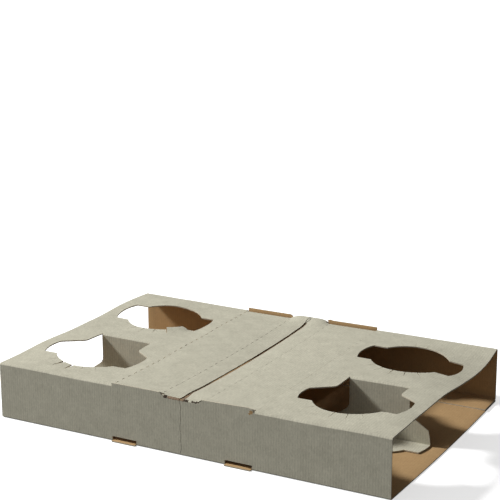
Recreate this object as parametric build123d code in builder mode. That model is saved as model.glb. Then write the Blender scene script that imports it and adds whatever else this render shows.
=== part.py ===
import os
from math import cos, floor, radians, sin, sqrt

from build123d import *

# Cup carrier folded from one die-cut sheet of thin corrugated board.
# The sheet wraps into a flat sleeve, open at its left and right ends.
# Origin: middle of the footprint on the table. X runs along the length, front is -Y.

# Sleeve, in millimetres
carrier_length = 250.0
carrier_depth = 162.0
carrier_height = 34.0
board = 1.0
crease_radius = 0.2
glue_lap = 20.0

# Cup openings in the top panel, a round rim with an ear at each side
cup_pitch_x = 170.6
cup_pitch_y = 78.8
rim_radius = 23.5
ear_radius = 31.3
ear_width = 25.0

# Relief slits that let the rim give to a wider cup
slit_count = 5
slit_angle = 17.5
slit_width = 0.5

# Strut flap of each front opening, hinged behind the cup and folded forward into a foot
hinge_reach = 32.3
hinge_width = 36.4
shoulder_drop = 15.6
shoulder_angle = 18.0
shoulder_round = 5.0
die_kerf = 0.3
foot_gap = 0.3
hinge_root = 2.0

# Tear line across the middle, where the carrier parts into two halves
seam_gap = 1.4
tear_width = 0.6
tear_cut = 5.0
tear_bridge = 1.4
crease_cut = 4.6
crease_cut_width = 0.6
crease_cut_pitch = 5.9

# Nicked lines each side of the tear line, where the top can be folded down
nick_line_inner = 13.5
nick_line_outer = 45.9
nick_length = 3.1
nick_width = 0.5
nick_pitch = 6.3
nick_margin = 5.0

# Lips that stay in the plane of the walls and of the floor between those lines
lip_height = 1.4
lip_slope = 3.3
lip_slot = 1.4
floor_lip_inner = 29.0
floor_lip_reach = 2.2
floor_lip_slot = 1.0

fold_outside = crease_radius + board
fold_middle = crease_radius + board / 2
cup_x = cup_pitch_x / 2
cup_y = cup_pitch_y / 2
hinge_y = hinge_reach - cup_y
top_face = Plane.XY.offset(carrier_height)
through_top = -(board + crease_radius)


def wall_face(side):
    """Outer face of the front (-1) or back (+1) wall, with its local y pointing up."""
    return Plane((0, side * carrier_depth / 2, 0), x_dir=(-side, 0, 0), z_dir=(0, side, 0))


def cut_row(length, cut, pitch):
    """Middles of the cuts of that length that fit in a row of that length, about zero."""
    count = floor((length - cut) / pitch) + 1
    return [(i - (count - 1) / 2) * pitch for i in range(count)]


# Outline of a back opening about its cup centre
with BuildSketch() as round_opening:
    Circle(ear_radius)
    Rectangle(2 * ear_radius, ear_width, mode=Mode.INTERSECT)
    Circle(rim_radius)

# Outline of a front opening about its cup centre, which is also the outline of its strut flap
with BuildSketch() as flap_opening:
    neck_end = hinge_reach + fold_outside
    ear_y = ear_width / 2
    ear_start = (ear_radius * cos(radians(shoulder_angle)), ear_radius * sin(radians(shoulder_angle)))
    ear_end = (sqrt(ear_radius**2 - ear_y**2), -ear_y)
    rim_start = (sqrt(rim_radius**2 - ear_y**2), -ear_y)
    with BuildLine():
        Line((0, neck_end), (hinge_width / 2, neck_end))
        FilletPolyline(
            (hinge_width / 2, neck_end),
            (hinge_width / 2, hinge_reach - shoulder_drop),
            ear_start,
            radius=shoulder_round,
        )
        ThreePointArc(ear_start, (ear_radius, 0), ear_end)
        Line(ear_end, rim_start)
        RadiusArc(rim_start, (0, -rim_radius), rim_radius)
        mirror(about=Plane.YZ)
    make_face()

# Relief slits of a rim's front arc, from the rim out to the radius of the ears
with BuildSketch() as rim_slits:
    slit_reach = ear_radius - rim_radius
    slit_spread = slit_angle * (slit_count - 1)
    first_slit = -90 - slit_spread / 2
    with PolarLocations(rim_radius, slit_count, first_slit, slit_spread, endpoint=True):
        Rectangle(2 * slit_reach, slit_width)

# The flap's flat outline, seen from the front and again from above, trims the bent strip
with BuildPart() as flap_limits:
    fold_drop = carrier_height - 2 * board - foot_gap
    upright_origin = (0, hinge_y, carrier_height - board / 2 - hinge_reach)
    with BuildSketch(Plane(upright_origin, x_dir=(1, 0, 0), z_dir=(0, -1, 0))):
        offset(flap_opening.sketch, amount=-die_kerf)
    extrude(amount=-(fold_outside + hinge_root))
    foot_origin = (0, hinge_y + board / 2 - hinge_reach + fold_drop, board)
    with BuildSketch(Plane(foot_origin)):
        offset(flap_opening.sketch, amount=-die_kerf)
    extrude(amount=foot_gap + fold_outside)

# Strut flap: out of the top, down to the floor and forward along it
with BuildPart() as strut_flap:
    flap_y = hinge_y + board / 2
    flap_top_z = carrier_height - board / 2
    foot_z = board + foot_gap + board / 2
    with BuildSketch(Plane.YZ):
        with BuildLine():
            FilletPolyline(
                (hinge_y + fold_outside + hinge_root, flap_top_z),
                (flap_y, flap_top_z),
                (flap_y, foot_z),
                (flap_y - hinge_reach - rim_radius + fold_drop, foot_z),
                radius=fold_middle,
            )
        trace(line_width=board)
    extrude(amount=ear_radius, both=True)
    add(flap_limits.part, mode=Mode.INTERSECT)

with BuildPart() as carrier:
    # Wrap of the sheet: floor, front wall, top, back wall and the lap glued down on the floor
    front_y = (board - carrier_depth) / 2
    back_y = (carrier_depth - board) / 2
    lap_z = board + board / 2
    with BuildSketch(Plane.YZ):
        with BuildLine():
            FilletPolyline(
                (0, board / 2),
                (front_y, board / 2),
                (front_y, carrier_height - board / 2),
                (back_y, carrier_height - board / 2),
                (back_y, lap_z),
                (back_y - glue_lap, lap_z),
                radius=fold_middle,
            )
        trace(line_width=board)
        Rectangle(carrier_depth / 2, board, align=Align.MIN)
    extrude(amount=carrier_length / 2, both=True)

    # Cup openings with their relief slits
    with BuildSketch(top_face):
        with Locations((-cup_x, -cup_y), (cup_x, -cup_y)):
            add(flap_opening.sketch)
            add(rim_slits.sketch)
        with Locations((-cup_x, cup_y), (cup_x, cup_y)):
            add(round_opening.sketch)
            add(rim_slits.sketch)
            add(rim_slits.sketch, rotation=180)
    extrude(amount=through_top, mode=Mode.SUBTRACT)

    # Strut flaps, each hanging from the back edge of a front opening
    with Locations((-cup_x, 0), (cup_x, 0)):
        add(strut_flap.part)

    # Tear line: open across the top, a row of cuts down the walls and along the floor
    tear_pitch = tear_cut + tear_bridge
    with BuildSketch(top_face):
        Rectangle(seam_gap, carrier_depth)
    extrude(amount=through_top, mode=Mode.SUBTRACT)
    for side in (-1, 1):
        wall_middle = carrier_height / 2
        wall_row = cut_row(carrier_height - 2 * fold_outside, tear_cut, tear_pitch)
        with BuildSketch(wall_face(side)):
            with Locations([(0, wall_middle + y) for y in wall_row]):
                Rectangle(tear_width, tear_cut)
        extrude(amount=-board, mode=Mode.SUBTRACT)
    floor_row = cut_row(carrier_depth - 2 * fold_outside, tear_cut, tear_pitch)
    with BuildSketch():
        with Locations([(0, y) for y in floor_row]):
            Rectangle(tear_width, tear_cut)
    extrude(amount=2 * board, mode=Mode.SUBTRACT)

    # Lips standing on the walls, each cut free from the top panel by a slot behind it
    lip_length = nick_line_outer - nick_line_inner
    lip_middle = (nick_line_outer + nick_line_inner) / 2
    slot_y = (carrier_depth - lip_slot) / 2 - board
    with BuildSketch(top_face):
        with GridLocations(2 * lip_middle, 2 * slot_y, 2, 2):
            Rectangle(lip_length, lip_slot)
    extrude(amount=through_top, mode=Mode.SUBTRACT)
    for side in (-1, 1):
        with BuildSketch(wall_face(side)):
            with BuildLine():
                Polyline(
                    (nick_line_inner, carrier_height - fold_outside),
                    (nick_line_inner, carrier_height),
                    (nick_line_inner + lip_slope, carrier_height + lip_height),
                    (nick_line_outer, carrier_height + lip_height),
                    (nick_line_outer, carrier_height - fold_outside),
                    close=True,
                )
            make_face()
            mirror(about=Plane.YZ)
        extrude(amount=-board)

    # Lips left in the plane of the floor, each reaching out through a slot in the wall
    floor_lip_length = nick_line_outer - floor_lip_inner
    floor_lip_middle = (nick_line_outer + floor_lip_inner) / 2
    for side, lip_base in ((-1, 0), (1, board)):
        lip_root = carrier_depth / 2 - fold_outside
        lip_end = carrier_depth / 2 + floor_lip_reach
        with BuildSketch(wall_face(side)):
            with Locations((-floor_lip_middle, lip_base + board), (floor_lip_middle, lip_base + board)):
                Rectangle(floor_lip_length, floor_lip_slot, align=(Align.CENTER, Align.MIN))
        extrude(amount=-fold_outside, mode=Mode.SUBTRACT)
        with BuildSketch(Plane.XY.offset(lip_base)):
            with GridLocations(2 * floor_lip_middle, 0, 2, 1):
                with Locations((0, side * (lip_root + lip_end) / 2)):
                    Rectangle(floor_lip_length, lip_end - lip_root)
        extrude(amount=board)

    # Cuts along the front and back folds, between the tear line and the lips
    crease_row = cut_row(nick_line_inner - seam_gap / 2, crease_cut, crease_cut_pitch)
    crease_middle = (nick_line_inner + seam_gap / 2) / 2
    crease_y = carrier_depth / 2 - fold_outside
    with BuildSketch(top_face):
        with Locations([(sign * (crease_middle + x), side * crease_y)
                        for sign in (-1, 1) for side in (-1, 1) for x in crease_row]):
            Rectangle(crease_cut, crease_cut_width)
    extrude(amount=through_top, mode=Mode.SUBTRACT)

    # Nicked lines across the top
    nick_row = cut_row(carrier_depth - 2 * nick_margin, nick_length, nick_pitch)
    with BuildSketch(top_face):
        for x in (nick_line_inner, nick_line_outer):
            with Locations([(sign * x, y) for sign in (-1, 1) for y in nick_row]):
                Rectangle(nick_width, nick_length)
    extrude(amount=through_top, mode=Mode.SUBTRACT)

carrier.part.label = "folded_carrier"

os.makedirs("parts", exist_ok=True)
export_step(carrier.part, "parts/folded_carrier.step")
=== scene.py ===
import bpy
import numpy as np
from mathutils import Matrix, Vector
from mathutils.geometry import delaunay_2d_cdt


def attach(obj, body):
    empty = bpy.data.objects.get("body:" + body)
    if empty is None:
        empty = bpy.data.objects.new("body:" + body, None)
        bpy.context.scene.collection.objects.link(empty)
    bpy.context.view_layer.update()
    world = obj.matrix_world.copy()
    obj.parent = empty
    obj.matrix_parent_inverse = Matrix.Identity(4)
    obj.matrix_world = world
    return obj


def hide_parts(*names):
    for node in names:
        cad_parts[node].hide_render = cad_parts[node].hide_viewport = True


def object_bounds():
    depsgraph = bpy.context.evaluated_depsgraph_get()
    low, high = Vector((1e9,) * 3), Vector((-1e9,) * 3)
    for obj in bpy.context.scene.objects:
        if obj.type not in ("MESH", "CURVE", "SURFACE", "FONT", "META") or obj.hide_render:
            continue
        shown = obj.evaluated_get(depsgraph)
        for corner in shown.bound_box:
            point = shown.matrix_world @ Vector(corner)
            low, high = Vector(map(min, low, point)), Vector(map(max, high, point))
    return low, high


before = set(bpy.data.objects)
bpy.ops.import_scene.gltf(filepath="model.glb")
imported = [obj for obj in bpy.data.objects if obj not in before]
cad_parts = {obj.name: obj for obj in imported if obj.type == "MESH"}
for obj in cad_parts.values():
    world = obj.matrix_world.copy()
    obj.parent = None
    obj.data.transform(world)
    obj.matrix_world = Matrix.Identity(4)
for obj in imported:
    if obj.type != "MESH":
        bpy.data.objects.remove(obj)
cad_low, cad_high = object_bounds()


# The sheet: one blank of thin corrugated board, pale grey outside and kraft brown inside. It is creased and
# wrapped into a flat sleeve: floor, front wall, top, back wall and a lap that is glued to the floor.
# A flat point is (x, v): x along the carrier, v from the floor's raw back edge round to the end of the lap.
mm = 0.001
board = 1.0 * mm
lip_rise = 1.4 * mm
floor_lip_reach = 2.2 * mm
glue_lap = 20 * mm
crease_radius = 0.4 * mm
walk_points = 40001

length = cad_high[0] - cad_low[0]
depth = cad_high[1] - cad_low[1] - 2 * floor_lip_reach
height = cad_high[2] - cad_low[2] - lip_rise
inset = crease_radius + board / 2
crease = crease_radius * np.pi / 2

flat_runs = np.array([
    depth - inset,
    height - 2 * inset,
    depth - 2 * inset,
    height - 2 * inset - board,
    glue_lap + board / 2 - inset,
])
crease_starts = np.cumsum(flat_runs[:-1]) + crease * np.arange(4)
blank_end = flat_runs.sum() + 4 * crease
top_start = crease_starts[1] + crease


def on_blank(y):
    """Flat place v of a line across the top panel that lies at y."""
    return top_start + y + depth / 2 - inset


def across_top(v):
    """The y of flat place v on the top panel, the other way round."""
    return v - top_start - depth / 2 + inset


class BentStrip:
    """Side view of a creased strip: it walks along the strip, and each crease turns its heading evenly by a
    quarter turn, so places are the running sums of the heading's cosine (y) and sine (z)."""

    def __init__(self, start, heading, creases, turns, end):
        self.steps = np.linspace(0, end, walk_points)
        turned = np.clip((self.steps[:, None] - creases) / crease, 0, 1) * turns
        self.heading = heading + turned.sum(1) * np.pi / 2
        ahead = np.stack([np.cos(self.heading), np.sin(self.heading)], 1)
        walked = np.cumsum((ahead[1:] + ahead[:-1]) / 2, 0) * self.steps[1]
        self.place = np.vstack([[start], start + walked])

    def at(self, along, held):
        """y, z and heading at each distance along the strip. Past its held distance a point goes straight."""
        heading = np.interp(held, self.steps, self.heading)
        y = np.interp(held, self.steps, self.place[:, 0]) + (along - held) * np.cos(heading)
        z = np.interp(held, self.steps, self.place[:, 1]) + (along - held) * np.sin(heading)
        return y, z, heading


sleeve = BentStrip((depth / 2, board / 2), np.pi, crease_starts, -1, blank_end)


# Cup openings: die-cut in the top panel, each a round rim with an ear at both sides.
# Short slits in the rim let it give to a wider cup, and use has opened some of them.
cup_x = 85.3 * mm
cup_y = 39.4 * mm
rim_radius = 23.5 * mm
ear_radius = 31.3 * mm
ear_half = 12.5 * mm
slit_angles = np.radians([-57.5, -75, -92.5, -110, -127.5])
slit_lap = 0.25 * mm
slit_taper = 0.25
front_left_slits = np.array([0.12, 0.15, 0.9, 0.9, 0.15]) * mm
front_right_slits = np.array([0.1, 0.2, 0.25, 0.12, 0.12]) * mm
back_slits = np.array([0.25, 0.25, 0.3, 0.2, 0.15]) * mm
closed_slits = np.full(len(slit_angles), 0.08 * mm)
outline_step = 1.2 * mm


def arc_points(radius, first, last):
    """Points on a circle about the origin, evenly spaced by angle from the first angle to the last."""
    count = int(abs(last - first) * radius / outline_step) + 2
    angle = np.linspace(first, last, count)
    return radius * np.stack([np.cos(angle), np.sin(angle)], 1)


def mirrored(half):
    """A half outline on the +x side, followed by its mirror image taken backwards."""
    return np.vstack([half, half[::-1] * (-1, 1)])


ear_angle = np.arcsin(ear_half / ear_radius)
rim_angle = np.arcsin(ear_half / rim_radius)
front_rim = arc_points(rim_radius, -np.pi / 2, -rim_angle)
back_rim = arc_points(rim_radius, rim_angle, np.pi / 2)
round_opening = mirrored(np.vstack([front_rim, arc_points(ear_radius, -ear_angle, ear_angle), back_rim]))


def slit(angle, half_width):
    """A narrow wedge from inside the rim out to the radius of the ears, where it has tapered."""
    out = np.array([np.cos(angle), np.sin(angle)])
    aside = half_width * np.array([-out[1], out[0]])
    inner, outer = (rim_radius - slit_lap) * out, ear_radius * out
    return np.array([inner - aside, outer - slit_taper * aside, outer + slit_taper * aside, inner + aside])


def placed(outline, x, y):
    """An outline about a point of the top panel, moved to that point on the blank."""
    return outline + (x, on_blank(y))


holes = []
slit_rows = [
    (-cup_x, -cup_y, 0, front_left_slits), (cup_x, -cup_y, 0, front_right_slits),
    (-cup_x, cup_y, 0, back_slits), (cup_x, cup_y, 0, back_slits),
    (-cup_x, cup_y, np.pi, closed_slits), (cup_x, cup_y, np.pi, closed_slits),
]
for centre_x, centre_y, turn, half_widths in slit_rows:
    for angle, half_width in zip(slit_angles, half_widths):
        holes.append(placed(slit(angle + turn, half_width), centre_x, centre_y))
for side in (-1, 1):
    holes.append(placed(round_opening, side * cup_x, cup_y))


# Strut flaps: the board of each front opening, still hinged at the back of the opening.
# It hangs down to the floor as a strut that keeps the top up, and its end is folded forward into a foot.
hinge_reach = 33.1 * mm
hinge_half = 18.2 * mm
right_shoulder_y = 16.7 * mm
left_shoulder_y = 15.7 * mm
right_ear_start = np.radians(18)
left_ear_start = np.radians(12)
shoulder_round = 2.5 * mm
shoulder_points = 7
neck_points = 9
kerf = 0.3 * mm
foot_gap = 0.05 * mm
strut_strip_end = 80 * mm

hinge_y = hinge_reach - cup_y
strut_drop = height - 2 * board - foot_gap - 2 * crease_radius
foot_crease = crease + strut_drop


def flap_half(shoulder_y, ear_start):
    """Half outline on the +x side: rim, ear, rounded shoulder, and the neck up to the hinge.
    The shoulder is the parabola (1 - t)^2 below + 2 t (1 - t) shoulder + t^2 above."""
    ear_top = ear_radius * np.array([np.cos(ear_start), np.sin(ear_start)])
    shoulder = np.array([hinge_half, shoulder_y])
    below = shoulder + shoulder_round * (ear_top - shoulder) / np.linalg.norm(ear_top - shoulder)
    above = shoulder + (0, shoulder_round)
    t = np.linspace(0, 1, shoulder_points)[:, None]
    bend = (1 - t) ** 2 * below + 2 * t * (1 - t) * shoulder + t**2 * above
    neck_y = np.linspace(above[1], hinge_reach, neck_points)[1:]
    neck = np.stack([np.full(len(neck_y), hinge_half), neck_y], 1)
    return np.vstack([front_rim, arc_points(ear_radius, -ear_angle, ear_start), bend, neck])


left_half = flap_half(left_shoulder_y, left_ear_start) * (-1, 1)
right_half = flap_half(right_shoulder_y, right_ear_start)
flap_opening = np.vstack([left_half[::-1], right_half[1:]])


def drawn_in(path, amount):
    """An open outline moved to its left by an amount, each point along the mean of its two edges' normals."""
    edge = np.diff(path, axis=0)
    normal = np.stack([-edge[:, 1], edge[:, 0]], 1) / np.linalg.norm(edge, axis=1)[:, None]
    normal = np.vstack([normal[:1], normal[1:] + normal[:-1], normal[-1:]])
    return path + amount * normal / np.linalg.norm(normal, axis=1)[:, None]


flap_outline = drawn_in(flap_opening, kerf)
flap_cut = np.vstack([flap_opening, flap_outline[::-1]])
for side in (-1, 1):
    holes.append(placed(flap_cut, side * cup_x, -cup_y))

strut = BentStrip(
    (hinge_y, height - board / 2), np.pi, np.array([0, foot_crease]), np.array([1, -1]), strut_strip_end
)


# Tear line: a cut across the top that ends in a small loop, and a row of short cuts down both walls and along
# the floor. The carrier parts here into two halves. The cut has been opened, so its edges wander, and beside
# it the front fold is torn and the brown medium under the grey liner is bared. Where the front fold is torn
# through, the gap is not cut but painted nearly black as painted shade, and the strip along the cut's right
# edge is partly painted shade of the opened cut, partly bared medium.
seam_half = 0.7 * mm
seam_flare = -0.1 * mm
seam_wander = 0.2 * mm
right_wander = 0.4
seam_end = 72 * mm
seam_points = 90
loop_half = 0.9 * mm
loop_cut = 0.2 * mm
loop_bridge = 1.5 * mm
front_shift = -0.8 * mm
shift_length = 25 * mm
wall_tear_half = 0.11 * mm
floor_tear_half = 0.04 * mm
tear_cut = 6.0 * mm
tear_pitch = 6.4 * mm
tear_wander = 0.22 * mm
short_wave = 1.3 * mm
long_wave = 2.9 * mm
tear_rough = 0.15 * mm
edge_points = 9
bared_fold_ends = (-9.1 * mm, 1.2 * mm)
bared_fold_half = 0.6 * mm
# The strip along the seam's right edge is partly painted shade of the opened cut, partly bared medium.
seam_shade_strip = 0.4 * mm

# Each torn place of a fold is (left end, right end, reach down the wall, reach into the top), in millimetres.
# At the front fold these places are not cut through but painted nearly black: painted shade of the gaps.
front_fold_tears = [(-11.7, -9.2, 0.8, 0.5), (1.3, 4.3, 0.5, 0.25), (6.2, 10.9, 0.35, 0.2)]
back_fold_tears = [
    (-12.2, -7.6, 0.3, 0.3), (-6.3, -1.7, 0.3, 0.3), (1.7, 6.3, 0.3, 0.3), (7.6, 12.2, 0.3, 0.3)
]
# Corners of the frayed end of a lip, (x, past the start of the front crease), and of the bared corner of the
# top, (x, y), in millimetres.
frayed_lip = [
    (41.6, -0.7), (42.7, 0.1), (42.4, 1), (43.3, 1.5), (44.9, 0.8), (44.5, 0), (44.3, -0.9), (43.5, -0.5),
    (42.9, -1.4),
]
bared_corner = [(-0.6, -80.9), (1.9, -80.9), (1.7, -77), (1, -71), (0.5, -66), (-0.2, -68)]
ragged = np.random.default_rng(4)


def opened_cut(left, right, v):
    """Outline of a cut, from the x of its left and its right edge at each v."""
    return np.vstack([np.stack([left, v], 1), np.stack([right, v], 1)[::-1]])


def torn_strip(x0, x1, v0, v1):
    """A strip along x whose two long edges are pushed to and fro by up to the roughness of a tear."""
    x = np.linspace(x0, x1, edge_points)
    low = v0 + tear_rough * ragged.uniform(-1, 1, edge_points)
    high = v1 + tear_rough * ragged.uniform(-1, 1, edge_points)
    return np.vstack([np.stack([x, low], 1), np.stack([x, high], 1)[::-1]])


def cut_row(first, last, cut, pitch):
    """Starts of as many cuts as fit between two ends at that pitch, centred between them."""
    count = int((last - first - cut) / pitch) + 1
    return (first + last - cut) / 2 + (np.arange(count) - (count - 1) / 2) * pitch


front_fold, back_fold = crease_starts[1:3] + crease / 2
seam_v = np.linspace(crease_starts[1], on_blank(seam_end), seam_points)
wander = np.cumsum(ragged.normal(0, 1, (2, seam_points)), 1)
wander -= np.linspace(wander[:, 0], wander[:, -1], seam_points).T
wander *= seam_wander / np.abs(wander).max(1, keepdims=True)
seam_width = seam_half + seam_flare * np.linspace(1, 0, seam_points) ** 2
seam_shift = front_shift * np.clip(1 - (seam_v - seam_v[0]) / shift_length, 0, 1) ** 2
seam_left = seam_shift - seam_width + wander[0]
seam_right = seam_shift + seam_width + right_wander * wander[1]
holes.append(opened_cut(seam_left, seam_right, seam_v))

loop_start = on_blank(seam_end) - loop_cut
for side, cut_end in ((-1, back_fold), (1, back_fold - loop_bridge)):
    loop_v = np.linspace(loop_start, cut_end, edge_points)
    loop_x = side * loop_half * np.sin(np.pi * (loop_v - loop_start) / (back_fold - loop_start))
    holes.append(opened_cut(loop_x - loop_cut, loop_x + loop_cut, loop_v))

tear_rows = [
    (0, crease_starts[0], 0, floor_tear_half),
    (crease_starts[0] + crease, crease_starts[1], front_shift, wall_tear_half),
    (crease_starts[2] + crease, crease_starts[3], 0, wall_tear_half),
    (crease_starts[3] + crease, blank_end, 0, floor_tear_half),
]
for first, last, tear_x, half_width in tear_rows:
    for v in cut_row(first, last, tear_cut, tear_pitch):
        row = np.linspace(v, v + tear_cut, edge_points)
        middle = tear_x + tear_wander * (np.sin(row / short_wave) + np.sin(row / long_wave))
        holes.append(opened_cut(middle - half_width, middle + half_width, row))

for x0, x1, down_wall, into_top in np.array(back_fold_tears) * mm:
    holes.append(torn_strip(x0, x1, back_fold - into_top, back_fold + down_wall))
# Torn places of the front fold, painted nearly black as painted shade of the gaps.
torn_gap_shade_places = [
    torn_strip(x0, x1, front_fold - down_wall, front_fold + into_top)
    for x0, x1, down_wall, into_top in np.array(front_fold_tears) * mm
]
# Bared medium at the front fold and at the top's corner. The strip along the seam's right edge is partly
# painted shade.
bared_and_shade_places = [
    torn_strip(*bared_fold_ends, front_fold - bared_fold_half, front_fold + bared_fold_half),
    placed(np.array(bared_corner) * mm, 0, 0),
    opened_cut(seam_right, seam_right + seam_shade_strip, seam_v),
]
frayed_place = np.array(frayed_lip) * mm + (0, crease_starts[1])


# Nicked lines: rows of short cuts across the top, each side of the tear line, where the panel can be bent.
# Lips: between those lines the die cuts a tab that stays in the plane of the wall when the top is folded,
# and lower down one that stays in the plane of the floor and shows through the wall as a small shelf.
nick_half_widths = {
    -45.9 * mm: 0.25 * mm,
    -13.5 * mm: 0.14 * mm,
    13.5 * mm: 0.08 * mm,
    45.9 * mm: 0.07 * mm,
}
nick_length = 2.8 * mm
nick_pitch = 6.3 * mm
nick_margin = 3.1 * mm
lip_kerf = 0.3 * mm
shelf_reach = 1.5 * mm
back_lip_lean = 0.09

# The free edge of a wall's lip is (x, height above the top), and a shelf has two ends, in millimetres.
front_left_lip = [(-12.3, -0.6), (-14, 1), (-46, 1)]
front_right_lip = [(11.2, -0.4), (13.8, 1.1), (41.6, 1.8), (43.2, 1.2), (43.9, 0.9), (45, 0)]
back_left_lip = [(-13.5, 0.3), (-15, 1.6), (-46, 1.6)]
back_right_lip = [(11.8, 0.8), (13, 1.6), (45.9, 1.6)]
left_shelf = (-30.4, -46)
right_shelf = (27.3, 43.6)
back_left_shelf = (-30.4, -38)


def rectangle(x0, x1, v0, v1):
    """The four corners of a straight cut."""
    return np.array([[x0, v0], [x1, v0], [x1, v1], [x0, v1]])


for v in cut_row(top_start + nick_margin, crease_starts[2] - nick_margin, nick_length, nick_pitch):
    for x, half_width in nick_half_widths.items():
        holes.append(rectangle(x - half_width, x + half_width, v, v + nick_length))

lips = []


def add_lip(free_edge, hold, ahead, lean=0):
    """Cuts a tab: its free edge is given as (x, distance past the outer face of the panel that it leaves).
    The cut runs round it. The tab is held at one flat place and reaches ahead (1) or back (-1) over the
    crease, and it moves back by the lean for each unit of its reach."""
    x, past_face = np.transpose(free_edge) * mm
    away = np.sign(x[-1] - x[0]) * lip_kerf
    far = hold + ahead * (inset + past_face.max() + lip_kerf)
    tab = np.vstack([[x[0], hold], np.stack([x, hold + ahead * (inset + past_face)], 1), [x[-1], hold]])
    cut = np.array([[x[0] - away, hold], [x[0] - away, far], [x[-1] + away, far], [x[-1] + away, hold]])
    holes.append(np.vstack([tab, cut[::-1]]))
    lips.append((np.sort(x[[0, -1]]), np.sort([hold, far - ahead * lip_kerf / 2]), hold, lean))


for lip in (front_left_lip, front_right_lip):
    add_lip(lip, crease_starts[1], 1)
for lip in (back_left_lip, back_right_lip):
    add_lip(lip, crease_starts[2] + crease, -1, back_lip_lean)
for ends in (left_shelf, right_shelf):
    add_lip([(x, shelf_reach / mm) for x in ends], crease_starts[0], 1)
for ends in (back_left_shelf, right_shelf):
    add_lip([(x, shelf_reach / mm) for x in ends], crease_starts[3] + crease, -1)


# The blank is filled with triangles between its cuts: a plain grid of points, with close rows in the creases.
# Then it is folded, and its two liners are joined along every cut by a strip as wide as the board is thick.
grid_step = 3 * mm
crease_rows = 7
crease_margin = 0.3 * mm
clear_of_cuts = 0.9 * mm
crease_clear = clear_of_cuts / 3
merge_distance = 1e-7
every_triangle = 0
block_count = 60
lip_slack = 0.05 * mm


def closed(count):
    """Edges that join that many points in a ring."""
    return np.stack([np.arange(count), np.roll(np.arange(count), -1)], 1)


def open_row(count):
    """Edges that join that many points in a row."""
    return closed(count)[:-1]


def with_midpoints(cut):
    """A closed outline with points added along its long edges."""
    ends = np.roll(cut, -1, 0)
    counts = np.ceil(np.linalg.norm(ends - cut, axis=1) / (2 * outline_step)).astype(int)
    return np.vstack([
        first + (last - first) * np.linspace(0, 1, count, endpoint=False)[:, None]
        for first, last, count in zip(cut, ends, counts)
    ])


def far_from(points, others, distance):
    """True for each point that is further than that from all the others along x or along v."""
    blocks = np.array_split(points, block_count)
    return np.concatenate([np.abs(block[:, None] - others).max(2).min(1) > distance for block in blocks])


def inside(points, loop):
    """True for each point from which a ray along +x crosses the loop an odd number of times."""
    low, high = loop.min(0), loop.max(0)
    found = ((points >= low) & (points <= high)).all(1)
    x, v = points[found, :1], points[found, 1:]
    ends = np.roll(loop, -1, 0)
    crossing = (loop[:, 1] > v) != (ends[:, 1] > v)
    rise = np.where(ends[:, 1] == loop[:, 1], 1, ends[:, 1] - loop[:, 1])
    at = loop[:, 0] + (v - loop[:, 1]) * (ends[:, 0] - loop[:, 0]) / rise
    found[found] = (crossing & (x < at)).sum(1) % 2 == 1
    return found


columns = np.linspace(-length / 2, length / 2, int(length / grid_step) + 1)
rows = np.linspace(0, blank_end, int(blank_end / grid_step) + 1)
across_crease = np.r_[-crease_margin, np.linspace(0, crease, crease_rows), crease + crease_margin]
creased_rows = (crease_starts[:, None] + across_crease).ravel()
plain_rows = rows[np.abs(rows[:, None] - creased_rows).min(1) > clear_of_cuts]
side_rows = np.sort(np.r_[plain_rows, creased_rows])
right_side = np.stack([np.full(len(side_rows), length / 2), side_rows], 1)
border = mirrored(right_side)
outlines = [border, frayed_place, *torn_gap_shade_places, *bared_and_shade_places, *holes]
loops = [with_midpoints(outline) for outline in outlines]
cut_points = np.vstack(loops)

flap_columns = columns[np.abs(np.abs(columns) - cup_x) < ear_radius]
hinge_rows = on_blank(hinge_y) - across_crease
crease_lines = [(columns[1:-1], v) for v in creased_rows]
for side in (-1, 1):
    for v in np.r_[hinge_rows, hinge_rows - foot_crease]:
        crease_lines.append((flap_columns[flap_columns * side > 0], v))
bent_rows = [np.stack([x, np.full(len(x), v)], 1) for x, v in crease_lines]
bent_rows = [row[far_from(row, cut_points, crease_clear)] for row in bent_rows]

grid = np.stack(np.meshgrid(columns[1:-1], rows[1:-1]), -1).reshape(-1, 2)
grid = grid[far_from(grid, np.vstack([cut_points, *bent_rows]), clear_of_cuts)]

lines = loops + bent_rows
joins = [closed(len(loop)) for loop in loops] + [open_row(len(row)) for row in bent_rows]
firsts = np.cumsum([0] + [len(line) for line in lines])
edges = np.vstack([join + first for join, first in zip(joins, firsts)])
points = np.vstack(lines + [grid])
filled = delaunay_2d_cdt(points.tolist(), edges.tolist(), [], every_triangle, merge_distance)
flat = np.array(filled[0])
triangles = np.array(filled[2])

middles = flat[triangles].mean(1)
in_hole = np.zeros(len(triangles), bool)
for hole in holes:
    in_hole |= inside(middles, hole)
triangles = triangles[~in_hole]
used, triangles = np.unique(triangles, return_inverse=True)
triangles = triangles.reshape(-1, 3)
x, v = flat[used].T

on_flap = np.zeros(len(x), bool)
for side in (-1, 1):
    flap_edge = placed(drawn_in(flap_opening, kerf / 2), side * cup_x, -cup_y)
    on_flap |= inside(flat[used], flap_edge)
held = v.copy()
leaning = np.zeros(len(x))
for (x0, x1), (v0, v1), hold, lean in lips:
    along_lip = (x > x0 - lip_slack) & (x < x1 + lip_slack)
    on_lip = along_lip & (v > v0 - lip_slack) & (v < v1 + lip_slack)
    held[on_lip] = hold
    leaning[on_lip] = lean

wrap_y, wrap_z, wrap_heading = sleeve.at(v, held)
from_hinge = np.maximum(on_blank(hinge_y) - v, 0)
flap_y, flap_z, flap_heading = strut.at(from_hinge, from_hinge)
y = np.where(on_flap, flap_y, wrap_y + leaning * np.abs(v - held))
z = np.where(on_flap, flap_z, wrap_z)
normal_y = np.where(on_flap, np.sin(flap_heading), -np.sin(wrap_heading))
normal_z = np.where(on_flap, -np.cos(flap_heading), np.cos(wrap_heading))


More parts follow.
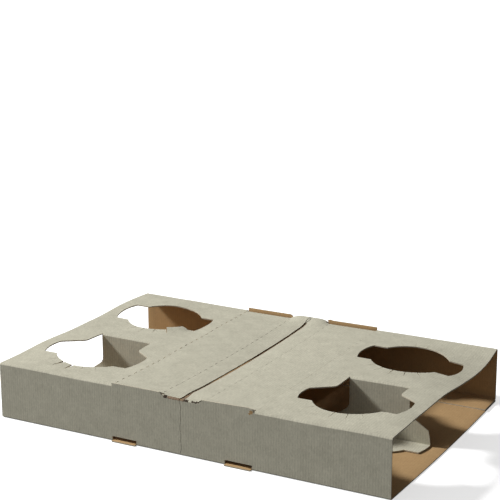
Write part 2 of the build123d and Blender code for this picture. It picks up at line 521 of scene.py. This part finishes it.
# Wear: the top has been pressed and the sleeve is slack. The panel sags along the tear line and at the back
# of its open right end, bulges along the left end, and stands up or sinks where the folds have torn. It and
# the floor have shifted a little along x, and one tongue of the back left rim is pushed up.
seam_sag = 2.2 * mm
seam_sag_width = 48 * mm
seam_step = 0.15 * mm
step_width = 7 * mm
fold_fade = 5 * mm
fold_end_half = 12 * mm
back_rise = 2.0 * mm
rise_start = 64 * mm
rise_length = 17 * mm
front_drop = 0.8 * mm
drop_start = 70 * mm
drop_length = 9 * mm
tongue_lift = 1.6 * mm
tongue_past_rim = 1 * mm
tongue_angles = np.radians([-57.5, -28])
floor_pull = 1.3 * mm
pull_start = 60 * mm
pull_length = 50 * mm
crease_crush = 0.45
cut_crush = 0.4
plate_scale = 10
plate_give = 0.004
smallest_r2 = 1e-12
sharp_angle = np.radians(40)

# Shifts of the top along x: (x, y, reach along x, reach along y, shift), in millimetres.
top_shifts = [(108, -30, 15, 35, 2), (-78, -35, 28, 55, 1.5), (-111, 36, 9, 25, -0.9)]
# Heights of the top above its plane: (x, y, height), in millimetres.
bends = np.array([
    (-125, -60, 0), (-125, -37, 0.8), (-125, -12, 0.1), (-125, 10, 0.3), (-125, 35, 0.9), (-125, 60, 1.6),
    (-120, 80, 0.9), (-100, 80, 0.6), (-60, 80, 0.15), (-92, 63, 1.5), (-101, 61, 1.6), (-81, 63, 0.6),
    (-114, 52, 1.7), (-117, 39, 1.25), (-114, 27, 0), (-105, 27, -0.4), (-94, 16, -0.4), (-86, 16, 0),
    (-67, 52, -0.3), (-57, 52, -0.2), (-54, 39, 0), (-57, 27, -0.9), (-73, 20, 0), (-85, 3, 0),
    (-117, -39, 1.1), (-114, -52, 0.7), (-117, -29, 0.9), (-104, -23, 0.9), (-103, -10, 0.4), (-67, -8, -0.2),
    (-85, -63, -0.5), (-93, -61, 0.3), (-72, -60, -0.4), (-64, -53, -1.2), (-56, -52, -1), (-54, -38, -0.9),
    (-55, -30, -1.1), (-66, -22, -0.6), (-46, 0, -0.5), (-46, 60, -0.3), (-46, -60, -0.5), (46, 0, -0.1),
    (46, 60, 0), (46, -60, 0), (-13.5, -20, -1.4), (13.5, -20, -1.2), (54, -40, 0), (57, -51, 0.45),
    (66, -51, 0.4), (75, -60, 0.4), (85, -62, 0.8), (91, -60, 0.9), (101, -51, 1.3), (105, -50, 1.3),
    (113, -50, 1.7), (116, -38, 1.1), (114, -28, 1), (104, -21, 1.1), (67, -22, -0.2), (55, -30, -0.3),
    (67, -7, 0), (103, -8, 0.4), (85, 2, 0), (125, -60, 0.3), (125, -40, 0.5), (125, -20, 0.4),
    (125, -5, -0.3), (125, 12, -2.3), (125, 30, -4), (125, 50, -4.8), (125, 67, -3.3), (109, 50, -2.6),
    (109, 28, -1.8), (85, 63, -0.6), (60, 40, 0), (-125, -80, 0), (-85, -80, 0), (-45, -80, 0),
    (45, -80, 0), (85, -80, 0), (125, -80, 0.3), (45, 80, 0), (85, 80, 0), (125, 80, 0),
])


def smooth(t):
    """A smooth step from 0 to 1, t^2 (3 - 2 t)."""
    t = np.clip(t, 0, 1)
    return t * t * (3 - 2 * t)


def trough(x, y):
    """The valley along the tear line: an arch along it, sin^0.85, times (1 - |x| / width)^1.5 across it."""
    along = np.sin(np.pi * np.clip((y + depth / 2) / depth, 0, 1)) ** 0.85
    return -seam_sag * along * np.clip(1 - np.abs(x) / seam_sag_width, 0, 1) ** 1.5


def plate_kernel(points, centres):
    """Bending shape of a thin plate pushed at each centre, r^2 ln r, at each of the points."""
    r2 = ((points[:, None] - centres) ** 2).sum(2)
    return r2 * np.log(r2 + smallest_r2) / 2


class ThinPlate:
    """A plate bent smoothly to the values at its centres: a tilted plane plus a kernel at every centre.
    Its give lets it miss each value a little, so that it bends less."""

    def __init__(self, centres, values, give):
        self.centres = centres
        plane = np.c_[np.ones(len(centres)), centres]
        stiffness = plate_kernel(centres, centres) + give * np.eye(len(centres))
        system = np.block([[stiffness, plane], [plane.T, np.zeros((3, 3))]])
        self.weights = np.linalg.solve(system, np.r_[values, np.zeros(3)])

    def at(self, points):
        """Height of the plate at each point."""
        plane = np.c_[np.ones(len(points)), points]
        return plate_kernel(points, self.centres) @ self.weights[:-3] + plane @ self.weights[-3:]


bend_places = bends[:, :2] * mm
bend_heights = bends[:, 2] * mm - trough(*bend_places.T)
bend_plate = ThinPlate(plate_scale * bend_places, bend_heights, plate_give)


def tongue(x, y, centre_x, centre_y):
    """Lift of a rim's tongue: greatest at the rim, nothing at the radius of the ears or past its two ends."""
    radius = np.hypot(x - centre_x, y - centre_y)
    angle = np.arctan2(y - centre_y, x - centre_x)
    between = (angle > tongue_angles[0]) & (angle < tongue_angles[1])
    return tongue_lift * between * smooth((ear_radius - radius) / (ear_radius - rim_radius + tongue_past_rim))


def top_lift(x, y):
    """How far the top panel stands above its plane: the bent plate and the valley, the step between the two
    halves, exp(-(x / width)^2), which fades at the folds, the raised and the sunk end of the tear line within
    exp(-(x / half)^6), and the tongue."""
    from_fold = depth / 2 - np.abs(y)
    step = np.sign(-x) * seam_step / 2 * np.exp(-((x / step_width) ** 2)) * smooth(from_fold / fold_fade)
    lift = bend_plate.at(plate_scale * np.stack([x, y], 1)) + trough(x, y) + step
    between_lips = np.exp(-((x / fold_end_half) ** 6))
    lift += back_rise * between_lips * smooth((y - rise_start) / rise_length)
    lift -= front_drop * between_lips * smooth((-y - drop_start) / drop_length)
    return lift + tongue(x, y, -cup_x, cup_y)


def slack_shift(x, y, up):
    """Move along x. On the top and its flaps (up is 1) it is a sum of bell shapes exp(-(dx/a)^2 - (dy/b)^2),
    and on the floor (up is 0) its right edge bows out by half a sine."""
    bow = np.sin(np.pi * np.clip(y / depth + 0.5, 0, 1))
    on_floor = floor_pull * smooth((x - pull_start) / pull_length) * bow
    on_top = np.zeros(len(x))
    for middle_x, middle_y, reach_x, reach_y, amount in np.array(top_shifts) * mm:
        on_top += amount * np.exp(-(((x - middle_x) / reach_x) ** 2) - ((y - middle_y) / reach_y) ** 2)
    return on_floor + (on_top - on_floor) * up


flat_y = np.clip(across_top(v), -depth / 2, depth / 2)
up_wall = np.clip((wrap_z - board) / (height - 1.5 * board), 0, 1)
hinge_lift = top_lift(x, np.full(len(x), hinge_y))
flap_lift = hinge_lift * (1 - smooth(from_hinge / foot_crease))
z = z + np.where(on_flap, flap_lift, top_lift(x, flat_y) * up_wall)
pulled_x = x + slack_shift(x, y, np.where(on_flap, 1, up_wall))

count = len(x)
rims = np.vstack([triangles[:, [0, 1]], triangles[:, [1, 2]], triangles[:, [2, 0]]])
rim_keys = np.sort(rims, 1) @ (count, 1)
_, first_places, times = np.unique(rim_keys, return_index=True, return_counts=True)
rims = rims[first_places[times == 1]]

wrap_turn = np.clip((v[:, None] - crease_starts) / crease, 0, 1)
flap_turn = np.clip((from_hinge[:, None] - (0, foot_crease)) / crease, 0, 1)
wrap_turning = np.sin(np.pi * wrap_turn).max(1) * (held == v)
turning = np.where(on_flap, np.sin(np.pi * flap_turn).max(1), wrap_turning)
half = board / 2 * (1 - crease_crush * np.sqrt(np.maximum(turning, 0)))
on_cut = np.isin(np.arange(count), rims)
inner_half = np.where(on_cut, cut_crush, 1) * half
outer_liner = np.stack([pulled_x, y + half * normal_y, z + half * normal_z], 1)
inner_liner = np.stack([pulled_x, y - inner_half * normal_y, z - inner_half * normal_z], 1)
edge_faces = np.stack([rims[:, 0] + count, rims[:, 1] + count, rims[:, 1], rims[:, 0]], 1)

mesh = bpy.data.meshes.new("folded_sheet")
faces = triangles.tolist() + (triangles[:, ::-1] + count).tolist() + edge_faces.tolist()
mesh.from_pydata(np.vstack([outer_liner, inner_liner]).tolist(), [], faces)
grey_face, kraft_face, cut_face, bared_and_shade_face, torn_gap_shade_face = range(5)
face_counts = [len(triangles), len(triangles), len(edge_faces)]
kinds = np.repeat([grey_face, kraft_face, cut_face], face_counts)
face_middles = np.stack([x, v], 1)[triangles].mean(1)
# Bared places, partly painted shade along the seam, and torn places painted near black as painted shade.
for kind, patches in ((kraft_face, [frayed_place]), (bared_and_shade_face, bared_and_shade_places), (torn_gap_shade_face, torn_gap_shade_places)):
    for patch in patches:
        kinds[:len(triangles)][inside(face_middles, patch)] = kind
mesh.polygons.foreach_set("material_index", kinds.astype(np.int32))
mesh.polygons.foreach_set("use_smooth", np.ones(len(faces), bool))
mesh.set_sharp_from_angle(angle=sharp_angle)
blank_place = np.stack([np.r_[x, x], np.r_[v, v], np.repeat([1.0, 0.0], count)], 1)
blank_attribute = mesh.attributes.new("blank", "FLOAT_VECTOR", "POINT")
blank_attribute.data.foreach_set("vector", blank_place.astype(np.float32).ravel())
mesh.update()
carrier = bpy.data.objects.new("folded_sheet", mesh)
bpy.context.scene.collection.objects.link(carrier)
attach(carrier, "root")
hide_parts("folded_carrier")


# Board finish: recycled paper liners with fine fibres and soft clouds, drawn slightly into the flutes behind
# them and streaked along the flutes with painted washboard shade. The cut edge shows the two liners and the
# wave of the medium between them, with painted shade in the hollow flutes and, near the tear line, painted
# shade over darker torn board.
# Materials read the place on the blank: x, v, and how far through the board, from 0 inside to 1 outside.
flute_pitch = 1.6 * mm
flute_relief = 0.2
clouds_per_metre = 110
fibres_per_metre = 1300
drifts_per_metre = 28
fibre_stretch = (1, 0.35, 1)
fibre_share = 0.68
cloud_share = 0.32
bump_strength = 0.5
bump_depth = 0.05 * mm
grey_dark, grey_light = (0.39, 0.372, 0.29), (0.63, 0.603, 0.48)
kraft_dark, kraft_light = (0.385, 0.243, 0.113), (0.497, 0.326, 0.158)
# Bared medium. Along the seam's right edge the same colours are partly painted shade of the opened cut.
bared_and_shade_dark, bared_and_shade_light = (0.17, 0.115, 0.075), (0.32, 0.235, 0.16)
# Torn places of the front fold: painted near-black shade of the gaps.
torn_gap_dark_shade, torn_gap_light_shade = (0.01, 0.007, 0.005), (0.1, 0.07, 0.045)
edge_paper = (0.64, 0.59, 0.47)
# The hollow flutes of the cut edge are painted darker: painted shade.
flute_hollow_shade = (0.44, 0.38, 0.28)
medium_swing = 0.33
# Near the tear line the cut edges are darkened: painted shade of the narrow cuts, and darker torn board.
torn_and_shade_colour = (0.1, 0.07, 0.045, 1)
torn_and_shade_amount = 0.7
torn_and_shade_start, torn_and_shade_end = 14 * mm, 15 * mm


def set_sockets(tree, node, sockets):
    """Gives each named or numbered socket of a node its value, or links it where an output is given."""
    for name, given in sockets.items():
        if isinstance(given, bpy.types.NodeSocket):
            tree.links.new(given, node.inputs[name])
        else:
            node.inputs[name].default_value = given


def add_node(tree, kind, sockets=None, **settings):
    """A shader node of that kind, with its plain settings and its sockets."""
    node = tree.nodes.new(kind)
    for name, value in settings.items():
        setattr(node, name, value)
    set_sockets(tree, node, sockets or {})
    return node


def math_node(tree, operation, *given):
    """Output of a Math node whose inputs, in order, are numbers or other outputs."""
    node = add_node(tree, "ShaderNodeMath", dict(enumerate(given)), operation=operation)
    return node.outputs["Value"]


def flute_wave(tree, along):
    """A sine that goes once round for each flute along the sheet."""
    return math_node(tree, "SINE", math_node(tree, "MULTIPLY", along, 2 * np.pi / flute_pitch))


def colour_ramp(tree, value, first, last):
    """A colour that runs from the first (value, colour) to the last one."""
    ramp = add_node(tree, "ShaderNodeValToRGB", {"Fac": value})
    for element, (position, colour) in zip(ramp.color_ramp.elements, (first, last)):
        element.position = position
        element.color = (*colour, 1)
    return ramp.outputs["Color"]


def paper_group():
    """Paper of a liner, as values that change over the sheet: clouds, fibres drawn out along v, and flutes, a
    sine along x of drifting strength. The height is the fibres plus a share of the flutes."""
    tree = bpy.data.node_groups.new("paper_fibre", "ShaderNodeTree")
    tree.interface.new_socket("Place", in_out="INPUT", socket_type="NodeSocketVector")
    for name in ("Clouds", "Fibres", "Flutes", "Height"):
        tree.interface.new_socket(name, in_out="OUTPUT", socket_type="NodeSocketFloat")
    place = tree.nodes.new("NodeGroupInput").outputs["Place"]

    clouds = add_node(tree, "ShaderNodeTexNoise", {
        "Vector": place, "Scale": clouds_per_metre, "Detail": 5, "Roughness": 0.62,
    }).outputs["Fac"]
    drawn = add_node(tree, "ShaderNodeMapping", {
        "Vector": place, "Scale": fibre_stretch,
    }, vector_type="POINT")
    fibres = add_node(tree, "ShaderNodeTexNoise", {
        "Vector": drawn.outputs["Vector"], "Scale": fibres_per_metre, "Detail": 4, "Roughness": 0.7,
        "Distortion": 1.2,
    }).outputs["Fac"]
    drift = add_node(tree, "ShaderNodeTexNoise", {"Vector": place, "Scale": drifts_per_metre, "Detail": 2})
    parts = add_node(tree, "ShaderNodeSeparateXYZ", {"Vector": place}).outputs
    flutes = math_node(tree, "MULTIPLY", flute_wave(tree, parts["X"]), drift.outputs["Fac"])
    relief = math_node(tree, "MULTIPLY_ADD", flutes, flute_relief, fibres)
    add_node(tree, "NodeGroupOutput", {
        "Clouds": clouds, "Fibres": fibres, "Flutes": flutes, "Height": relief,
    })
    return tree


paper_fibre = paper_group()


def liner(name, dark, light, washboard_shade, roughness):
    """A paper liner: clouds and fibres run from the dark colour to the light one, streaked along the flutes
    by painted washboard shade.
    """
    material = bpy.data.materials.new(name)
    material.use_nodes = True
    tree = material.node_tree
    place = add_node(tree, "ShaderNodeAttribute", attribute_name="blank").outputs["Vector"]
    paper = add_node(tree, "ShaderNodeGroup", {"Place": place}, node_tree=paper_fibre).outputs
    clouds = math_node(tree, "MULTIPLY", paper["Clouds"], cloud_share)
    mottle = math_node(tree, "MULTIPLY_ADD", paper["Fibres"], fibre_share, clouds)
    # Painted washboard shade: the colour is streaked along the flutes.
    washboard_shaded = math_node(tree, "MULTIPLY_ADD", paper["Flutes"], washboard_shade, mottle)
    bump = add_node(tree, "ShaderNodeBump", {
        "Strength": bump_strength, "Distance": bump_depth, "Height": paper["Height"],
    })
    set_sockets(tree, tree.nodes["Principled BSDF"], {
        "Base Color": colour_ramp(tree, washboard_shaded, (0.3, dark), (0.7, light)),
        "Roughness": roughness,
        "Specular IOR Level": 0.25,
        "Normal": bump.outputs["Normal"],
    })
    return material


def cut_edge():
    """The board's cut edge: pale liner at both sides, and between them a sine wave of medium over the hollow
    flutes, which are painted darker as painted shade. Near the tear line, out to the inner nicked lines, the
    edges are darkened by painted shade of the narrow cuts and by darker torn board."""
    material = bpy.data.materials.new("cut_board_edge")
    material.use_nodes = True
    tree = material.node_tree
    place = add_node(tree, "ShaderNodeAttribute", attribute_name="blank").outputs["Vector"]
    parts = add_node(tree, "ShaderNodeSeparateXYZ", {"Vector": place}).outputs
    medium = math_node(tree, "MULTIPLY_ADD", flute_wave(tree, parts["X"]), medium_swing, 0.5)
    off_medium = math_node(tree, "ABSOLUTE", math_node(tree, "SUBTRACT", parts["Z"], medium))
    off_middle = math_node(tree, "ABSOLUTE", math_node(tree, "SUBTRACT", parts["Z"], 0.5))
    off_liner = math_node(tree, "SUBTRACT", 0.5, off_middle)
    off_paper = math_node(tree, "MINIMUM", off_medium, off_liner)
    # Pale paper on the liners and the medium, painted shade in the hollow flutes between them.
    plain_cut_edge = colour_ramp(tree, off_paper, (0.1, edge_paper), (0.22, flute_hollow_shade))
    # Painted shade, together with darker torn board, on the cut edges near the tear line.
    torn_and_shade_share = add_node(tree, "ShaderNodeMapRange", {
        "Value": math_node(tree, "ABSOLUTE", parts["X"]),
        "From Min": torn_and_shade_start, "From Max": torn_and_shade_end, "To Min": torn_and_shade_amount, "To Max": 0,
    })
    torn_and_shaded_edge = add_node(tree, "ShaderNodeMix", {
        "Factor": torn_and_shade_share.outputs["Result"], "A": plain_cut_edge, "B": torn_and_shade_colour,
    }, data_type="RGBA")
    set_sockets(tree, tree.nodes["Principled BSDF"], {
        "Base Color": torn_and_shaded_edge.outputs["Result"],
        "Roughness": 0.95,
        "Specular IOR Level": 0.15,
    })
    return material


# In the order of the kinds of face: grey, kraft, cut, bared with painted shade, and torn painted near black.
finishes = [
    # The fourth value of each liner is its share of painted washboard shade.
    liner("grey_liner", grey_dark, grey_light, 0.07, 0.88),
    liner("kraft_liner", kraft_dark, kraft_light, 0.05, 0.9),
    cut_edge(),
    liner("bared_medium_and_shade", bared_and_shade_dark, bared_and_shade_light, 0.1, 0.95),
    liner("torn_gap_painted_shade", torn_gap_dark_shade, torn_gap_light_shade, 0.1, 0.95),
]
for finish in finishes:
    mesh.materials.append(finish)


# Studio: a pale floor that keeps the soft shadow, one lamp from the left, and a white surround that fills
# from the left, the front and above. The camera stands where the photograph was taken from, to the right of
# the front.
floor_size = 6.0
floor_drop = 0.15 * mm
floor_seen = (0.86, 0.86, 0.86, 1)
floor_bounce = (0.24, 0.24, 0.24, 1)
floor_glow = 0.6
white = (1, 1, 1, 1)
fill_from = Vector((-0.55, -0.45, 0.85))
fill_strength = 0.34
far_fill_strength = 0.02
far_fill_facing = -0.3
key_from = Vector((-1, -0.27, 0.86))
key_distance = 3.0
key_angle = np.radians(9)
key_strength = 3.82
camera_place = Vector((0.38341, -0.70190, 0.30738))
camera_right = Vector((0.877759, 0.479076, -0.004990))
camera_up = Vector((-0.116532, 0.223588, 0.967693))
camera_lens = 101.783
sensor_width = 36
nearest_seen = 10 * mm

floor_mesh = bpy.data.meshes.new("floor")
corners = floor_size / 2 * np.array([[-1, -1], [1, -1], [1, 1], [-1, 1]])
floor_mesh.from_pydata(np.c_[corners, np.full(4, -floor_drop)].tolist(), [], [(0, 1, 2, 3)])
floor = bpy.data.objects.new("floor", floor_mesh)
bpy.context.scene.collection.objects.link(floor)
floor_material = bpy.data.materials.new("pale_floor")
floor_material.use_nodes = True
tree = floor_material.node_tree
seen = tree.nodes.new("ShaderNodeLightPath").outputs["Is Camera Ray"]
tone = add_node(tree, "ShaderNodeMix", {"Factor": seen, "A": floor_bounce, "B": floor_seen}, data_type="RGBA")
set_sockets(tree, tree.nodes["Principled BSDF"], {
    "Base Color": tone.outputs["Result"],
    "Roughness": 1.0,
    "Specular IOR Level": 0.0,
    "Emission Color": white,
    "Emission Strength": math_node(tree, "MULTIPLY", seen, floor_glow),
})
floor_mesh.materials.append(floor_material)

world = bpy.data.worlds.new("surround")
world.use_nodes = True
tree = world.node_tree
seen = tree.nodes.new("ShaderNodeLightPath").outputs["Is Camera Ray"]
direction = tree.nodes.new("ShaderNodeTexCoord").outputs["Generated"]
facing = add_node(tree, "ShaderNodeVectorMath", {
    0: direction, 1: fill_from.normalized(),
}, operation="DOT_PRODUCT")
fill = add_node(tree, "ShaderNodeMapRange", {
    "Value": facing.outputs["Value"],
    "From Min": far_fill_facing, "From Max": 1, "To Min": far_fill_strength, "To Max": fill_strength,
})
strength = add_node(tree, "ShaderNodeMapRange", {
    "Value": seen, "To Min": fill.outputs["Result"], "To Max": 1.0,
})
set_sockets(tree, tree.nodes["Background"], {"Color": white, "Strength": strength.outputs["Result"]})
bpy.context.scene.world = world

key_lamp = bpy.data.lights.new("key_lamp", "POINT")
key_lamp.shadow_soft_size = key_distance * np.tan(key_angle / 2)
key_lamp.energy = key_strength * 4 * np.pi * key_distance**2
key_object = bpy.data.objects.new("key_lamp", key_lamp)
key_object.location = key_distance * key_from.normalized()
bpy.context.scene.collection.objects.link(key_object)

camera = bpy.data.cameras.new("camera")
camera.lens = camera_lens
camera.sensor_width = sensor_width
camera.clip_start = nearest_seen
camera_object = bpy.data.objects.new("camera", camera)
camera_back = camera_right.cross(camera_up)
camera_turn = Matrix((camera_right, camera_up, camera_back)).transposed().to_4x4()
camera_object.matrix_world = Matrix.Translation(camera_place) @ camera_turn
bpy.context.scene.collection.objects.link(camera_object)
bpy.context.scene.camera = camera_object
bpy.context.scene.view_settings.view_transform = "Standard"
